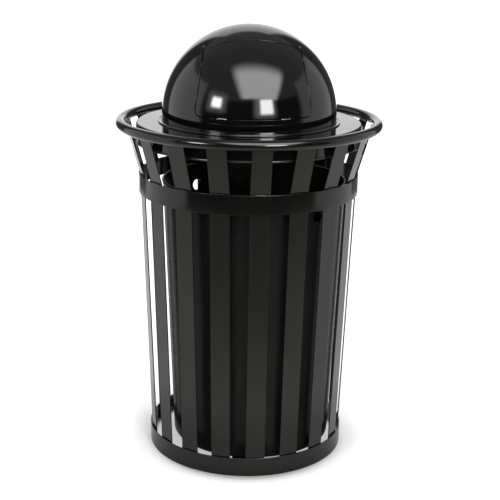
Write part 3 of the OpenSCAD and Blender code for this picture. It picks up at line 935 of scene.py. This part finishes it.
# ------------------------------ hinge and fittings
def rivets():
    """Two domed rivets that hold the brackets, with their heads outside and tails inside the hood."""
    # outlines as (radius, height above the dome, and the normal in the same two directions)
    head = [(0.0, 1.75, 0, 1), (2.0, 1.6, 0.35, 0.94), (3.6, 1.15, 0.65, 0.76), (4.6, 0.5, 0.87, 0.5),
            (5.0, 0.06, 1, 0)]
    shank = [(2.45, 0.0, 1, 0), (2.45, -5.2, 1, 0)]
    tail = [(2.45, -4.1, 0, 1), (4.0, -4.1, 0.3, 0.95), (4.0, -5.3, 1, 0), (2.9, -5.9, 0.5, -0.86),
            (0.0, -6.1, 0, -1)]
    sides = 32
    s = Skin()
    for sgn in (-1, 1):
        az, lift = rad(sgn * RIVET_AZ), rad(RIVET_LIFT)
        n = np.array((math.sin(az) * math.cos(lift), -math.cos(az) * math.cos(lift), math.sin(lift)))
        x = unit(np.cross(n, UP))
        y = np.cross(n, x)
        c = UP * DOME_Z + n * DOME_R
        for prof in (head, shank, tail):
            pts, nrm = [], []
            for k in range(sides):
                a = TAU * k / sides
                d = x * math.cos(a) + y * math.sin(a)
                pts.append([tuple(c + d * r + n * h) for r, h, _, _ in prof])
                nrm.append([tuple(d * nr + n * nh) for _, _, nr, nh in prof])
            s.grid(pts, nrm, wrap_u=True)
    s.make("bracket_rivet_heads", LID, "lid", ["bracket_rivets"], "lid_paint")


rivets()


# the legs' directions and lengths, in the plane across the rod, and how long their hooks are
EAR_LEG, BRACKET_LEG, HOOK = (233.2, 18.1), (14.4, 21.6), 4.2
TURNS, COIL_STEPS, LEG_STEPS, HOOK_STEPS = 5, 260, 6, 3


def spring(name, node, sgn):
    """One continuous torsion spring: hooked leg, close turns, hooked leg."""
    coil_r = ROD_R + 1.0 + WIRE_R
    first = EAR_X + PLATE_T + 2.2
    last = first + TURNS * (2 * WIRE_R + 0.03)
    c = np.array((0, -ROD_Y, DOME_Z + ROD_Z))

    def at(x, ang, r):
        return c + np.array((sgn * x, r * math.cos(rad(ang)), r * math.sin(rad(ang))))

    def leg(x, direction, length, turn):
        d = np.array((0, math.cos(rad(direction)), math.sin(rad(direction))))
        start = at(x, direction + 90 * turn, coil_r)
        return [start + d * length * k / LEG_STEPS for k in range(LEG_STEPS + 1)]

    def hook(end, way):
        return [end + np.array((way * sgn * HOOK * k / HOOK_STEPS, 0, 0)) for k in range(1, HOOK_STEPS + 1)]
    ear, bracket = leg(first, *EAR_LEG, -1), leg(last, *BRACKET_LEG, 1)
    a0, a1 = EAR_LEG[0] - 90, BRACKET_LEG[0] + 90 - 360 * TURNS
    coil = [at(first + (last - first) * k / COIL_STEPS, a0 + (a1 - a0) * k / COIL_STEPS, coil_r)
            for k in range(1, COIL_STEPS)]
    path = hook(ear[-1], -1)[::-1] + ear[::-1] + coil + bracket + hook(bracket[-1], 1)
    s = Skin()
    tube(s, path, WIRE_R, 10)
    s.make(name, WIRE, "lid", [node], "spring_steel")


spring("spring_coil_left", "spring_left", -1)
spring("spring_coil_right", "spring_right", 1)

# small fittings keep their CAD mesh, with a finish and softened edges
FITTINGS = {"hinge_rod": ZINC, "rod_clips": WIRE}
for hand in ("left", "right"):
    for kind, mat in (("hinge_bracket", ZINC), ("door_ear", ZINC), ("ear_bush", NYLON), ("stop_tab", ZINC),
                      ("bumper", RUBBER)):
        FITTINGS[f"{kind}_{hand}"] = mat
for node, mat in FITTINGS.items():
    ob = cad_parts[node]
    for mat_slot in ob.material_slots:
        mat_slot.material = mat
    if not ob.material_slots:
        ob.data.materials.append(mat)
    soften = ob.modifiers.new("soften", "BEVEL")
    soften.width, soften.segments = 0.3 * MM, 2
    soften.limit_method, soften.angle_limit = "ANGLE", rad(40)


# ------------------------------ stage
def card(n, az, el, az0, az1, el0, el1, soft):
    """1 inside a rectangle of directions, in degrees, and 0 outside, with soft edges."""
    sides = [n.smooth(v, edge - soft, edge + soft, *ends)
             for v, edge, ends in ((az, az0, (0.0, 1.0)), (az, az1, (1.0, 0.0)),
                                   (el, el0, (0.0, 1.0)), (el, el1, (1.0, 0.0)))]
    return n.math("MULTIPLY", n.math("MULTIPLY", *sides[:2]), n.math("MULTIPLY", *sides[2:]))


world = bpy.data.worlds.new("studio")
bpy.context.scene.world = world
world.use_nodes = True
n = Nodes(world.node_tree)
out = n.new("ShaderNodeOutputWorld")
sep = n.new("ShaderNodeSeparateXYZ")
n.link(n.new("ShaderNodeTexCoord").outputs["Generated"], sep.inputs[0])
X, Y, Z = sep.outputs
# directions in degrees: azimuth from the door's side, and elevation
az = n.math("MULTIPLY", n.math("ARCTAN2", X, n.math("MULTIPLY", Y, -1.0)), deg(1))
el = n.math("MULTIPLY", n.math("ARCSINE", Z), deg(1))
absaz = n.math("ABSOLUTE", az)
# brightness of what the gloss sees, then of what the camera and the matt surfaces see, and the sun's
ROOM, FRONT, UNDER, GAP = 0.30, 0.024, 0.06, 0.10
WALL_LEFT, WALL_RIGHT, BACKDROP, PANEL = 1.05, 0.85, 1.4, 6.4
SOFTBOX_LEFT, SOFTBOX_RIGHT, GLOW_LEFT, GLOW_RIGHT = 26.0, 20.0, 1.6, 2.0
SEEN, FILL, OVERHEAD = 1.02, 0.75, 2.3
value = ROOM


def lay(value, mask, level):
    """value goes to level where mask is 1."""
    keep = n.math("MULTIPLY", value, n.math("SUBTRACT", 1.0, mask))
    return n.math("ADD", keep, n.math("MULTIPLY", mask, level))


for across, box, soft, level in (
        (az, (-66, 66, -95, 22), 2.5, FRONT),                    # dark front of the room
        (az, (-200, 200, -95, -14), 4.0, UNDER),                 # below the floor's edge
        (az, (-136, -70, -24, 34), 3.0, WALL_LEFT),
        (az, (70, 132, -24, 34), 3.0, WALL_RIGHT),
        (absaz, (133, 158, -12, 38), 3.0, GAP),                  # gaps beside the backdrop
        (absaz, (161, 400, -24, 44), 3.0, BACKDROP),
        (az, (-61, -35, 7, 28), 5.0, GLOW_LEFT),                 # glow round the left softbox
        (az, (4, 31, 2, 28), 5.0, GLOW_RIGHT),
        (az, (-54.5, -41.5, 12.0, 23.0), 3.0, SOFTBOX_LEFT),
        (az, (11.5, 28.0, 6.0, 24.5), 2.5, SOFTBOX_RIGHT)):
    value = lay(value, card(n, across, el, *box, soft), level)
# a slanting panel overhead, on the plane at unit height, within PANEL_SPAN in front of the bin. Its middle
# and half its width are each given over the bin, and by their growth for each unit forward
PANEL_MIDDLE, PANEL_HALF, PANEL_SPAN, PANEL_SOFT = (0.13, 0.15), (0.48, 0.22), (0.42, 2.05), 0.22
safe = n.math("MAXIMUM", Z, 0.05)
px, near = n.math("DIVIDE", X, safe), n.math("DIVIDE", Y, n.math("MULTIPLY", safe, -1.0))
reach = n.math("MAXIMUM", near, 0.0)
middle, half = (n.math("ADD", n.math("MULTIPLY", reach, growth), start)
                for start, growth in (PANEL_MIDDLE, PANEL_HALF))
across = n.math("DIVIDE", n.math("SUBTRACT", px, middle), half)
value = lay(value, card(n, across, near, -1.0, 1.0, *PANEL_SPAN, PANEL_SOFT), PANEL)
ray = n.new("ShaderNodeLightPath")
plain = n.math("MAXIMUM", ray.outputs["Is Camera Ray"], ray.outputs["Is Diffuse Ray"])
level = n.math("ADD", n.math("MULTIPLY", ray.outputs["Is Camera Ray"], SEEN),
               n.math("MULTIPLY", ray.outputs["Is Diffuse Ray"], FILL))
shown = n.math("ADD", n.math("MULTIPLY", value, n.math("SUBTRACT", 1.0, plain)), level)
back = n.new("ShaderNodeBackground")
n.link(shown, back.inputs["Color"])
n.link(back.outputs[0], out.inputs[0])


# in metres: a painted contact shadow on the paper close to the base, by distance from a point in front of the
# bin's middle, and a painted glow from the paper under the cage, by distance from the middle
CONTACT_FRONT = (0.0, -0.030, 0.0)
PAINTED_CONTACT_SHADOW = [(0.238, 0.36), (0.250, 0.55), (0.264, 0.86), (0.282, 1.0)]
PAINTED_CAGE_GLOW = [(0.250, 0.50), (0.264, 0.0)]


def paper(name, level):
    """The pale floor, with a painted contact shadow close to the base and a painted glow under the cage."""
    def build(n, place, sh):
        fine = n.noise(place, 3.0, 4.0, 0.5)
        pale = n.mix(fine, (level, level, level), (level * 1.01,) * 3)
        front = n.new("ShaderNodeVectorMath", operation="DISTANCE")
        n.link(place, front.inputs[0])
        front.inputs[1].default_value = CONTACT_FRONT
        # painted contact shadow: the paper's colour darkens close to the base
        n.link(n.mix(n.ramp(front.outputs["Value"], PAINTED_CONTACT_SHADOW), (0, 0, 0), pale), sh.inputs["Base Color"])
        middle = n.new("ShaderNodeVectorMath", operation="LENGTH")
        n.link(place, middle.inputs[0])
        # painted glow: the paper under the cage gives off light
        sh.inputs["Emission Color"].default_value = (1, 1, 1, 1)
        n.link(n.ramp(middle.outputs["Value"], PAINTED_CAGE_GLOW), sh.inputs["Emission Strength"])
    return material(name, build, Roughness=0.9, Specular_IOR_Level=0.0)


def disc(name, radius, mat, glossy):
    """A round floor of that radius in metres, which glossy rays see or don't."""
    seg = 128
    verts = [(radius * math.cos(TAU * k / seg), radius * math.sin(TAU * k / seg), 0) for k in range(seg)]
    faces = [(k, (k + 1) % seg, seg) for k in range(seg)]
    verts.append((0, 0, 0))
    me = bpy.data.meshes.new(name)
    me.from_pydata(verts, [], faces)
    me.materials.append(mat)
    ob = bpy.data.objects.new(name, me)
    bpy.context.scene.collection.objects.link(ob)
    ob.visible_glossy = glossy
    return ob


disc("studio_floor", 60.0, paper("studio_paper", 0.80), False)


def card_paper():
    """What the gloss sees of the floor: a glowing disc with painted light, bright behind and beside the bin,
    falling off towards the camera, and a painted shadow close to the base."""
    mat = bpy.data.materials.new("floor_reflection")
    mat.use_nodes = True
    n = Nodes(mat.node_tree)
    out = n.new("ShaderNodeOutputMaterial")
    place = n.new("ShaderNodeTexCoord").outputs["Object"]
    sep = n.new("ShaderNodeSeparateXYZ")
    n.link(place, sep.inputs[0])
    far = n.math("DIVIDE", n.math("MULTIPLY", sep.outputs[1], -1.0), FLOOR_REACH, clamp=True)
    around = n.new("ShaderNodeVectorMath", operation="LENGTH")
    n.link(place, around.inputs[0])
    # painted light: the disc glows, fading towards the camera, with a painted shadow close to the base
    glow = n.new("ShaderNodeEmission")
    n.link(n.ramp(far, FLOOR_FADE), glow.inputs[0])
    n.link(n.ramp(around.outputs["Value"], PAINTED_BASE_SHADOW), glow.inputs[1])
    n.link(glow.outputs[0], out.inputs[0])
    return mat


# in metres; the painted light of the reflected floor, by distance in front of the middle as a share of
# FLOOR_REACH, and its painted shadow, by distance from the middle
FLOOR_REACH = 3.2
FLOOR_FADE = [(0.0, (1.0, 1.0, 1.0)), (0.17, (0.95, 0.93, 0.88)), (0.24, (0.80, 0.78, 0.68)),
              (0.37, (0.58, 0.565, 0.49)), (0.47, (0.40, 0.39, 0.34)), (0.56, (0.40, 0.385, 0.34)),
              (0.70, (0.30, 0.285, 0.26)), (0.85, (0.13, 0.12, 0.11)), (1.0, (0.06, 0.055, 0.055))]
PAINTED_BASE_SHADOW = [(0.24, 0.30), (0.33, 0.62), (0.45, 0.70), (0.65, 1.0)]
gloss_floor = disc("studio_floor_gloss", FLOOR_REACH, card_paper(), True)
gloss_floor.location.z = -0.0005
for ray_kind in ("camera", "diffuse", "transmission", "volume_scatter", "shadow"):
    setattr(gloss_floor, "visible_" + ray_kind, False)

sun = bpy.data.lights.new("overhead", "SUN")
sun.energy, sun.angle = OVERHEAD, rad(14)
overhead = bpy.data.objects.new("overhead", sun)
bpy.context.scene.collection.objects.link(overhead)
overhead.location = (0, 0, 4)
overhead.visible_glossy = False

# camera, at the photograph's viewing angle, in metres and radians, but CAM_TURN in degrees
CAM_TURN, CAM_DISTANCE, CAM_HEIGHT = 3.3, 3.106, 1.446
CAM_PITCH, CAM_ROLL, CAM_YAW, CAM_LENS = 0.281, 0.014, 0.0023, 84.53
data = bpy.data.cameras.new("camera")
data.sensor_width, data.lens = 36.0, CAM_LENS
data.clip_start, data.clip_end = 0.05, 200.0
cam = bpy.data.objects.new("camera", data)
bpy.context.scene.collection.objects.link(cam)
cy, sy, cp, sp = math.cos(CAM_YAW), math.sin(CAM_YAW), math.cos(CAM_PITCH), math.sin(CAM_PITCH)
right = Vector((cy, -sy, 0))
ahead = Vector((sy, cy, 0))
fwd, upv = ahead * cp - Vector((0, 0, sp)), ahead * sp + Vector((0, 0, cp))
cr, sr = math.cos(CAM_ROLL), math.sin(CAM_ROLL)
spin = Matrix.Rotation(rad(-CAM_TURN), 3, "Z")
cols = [spin @ (right * cr + upv * sr), spin @ (upv * cr - right * sr), spin @ (-fwd)]
place = spin @ Vector((0, -CAM_DISTANCE, CAM_HEIGHT))
cam.matrix_world = Matrix([[*(col[i] for col in cols), place[i]] for i in range(3)] + [[0, 0, 0, 1]])
bpy.context.scene.camera = cam
bpy.context.scene.view_settings.view_transform = "Standard"
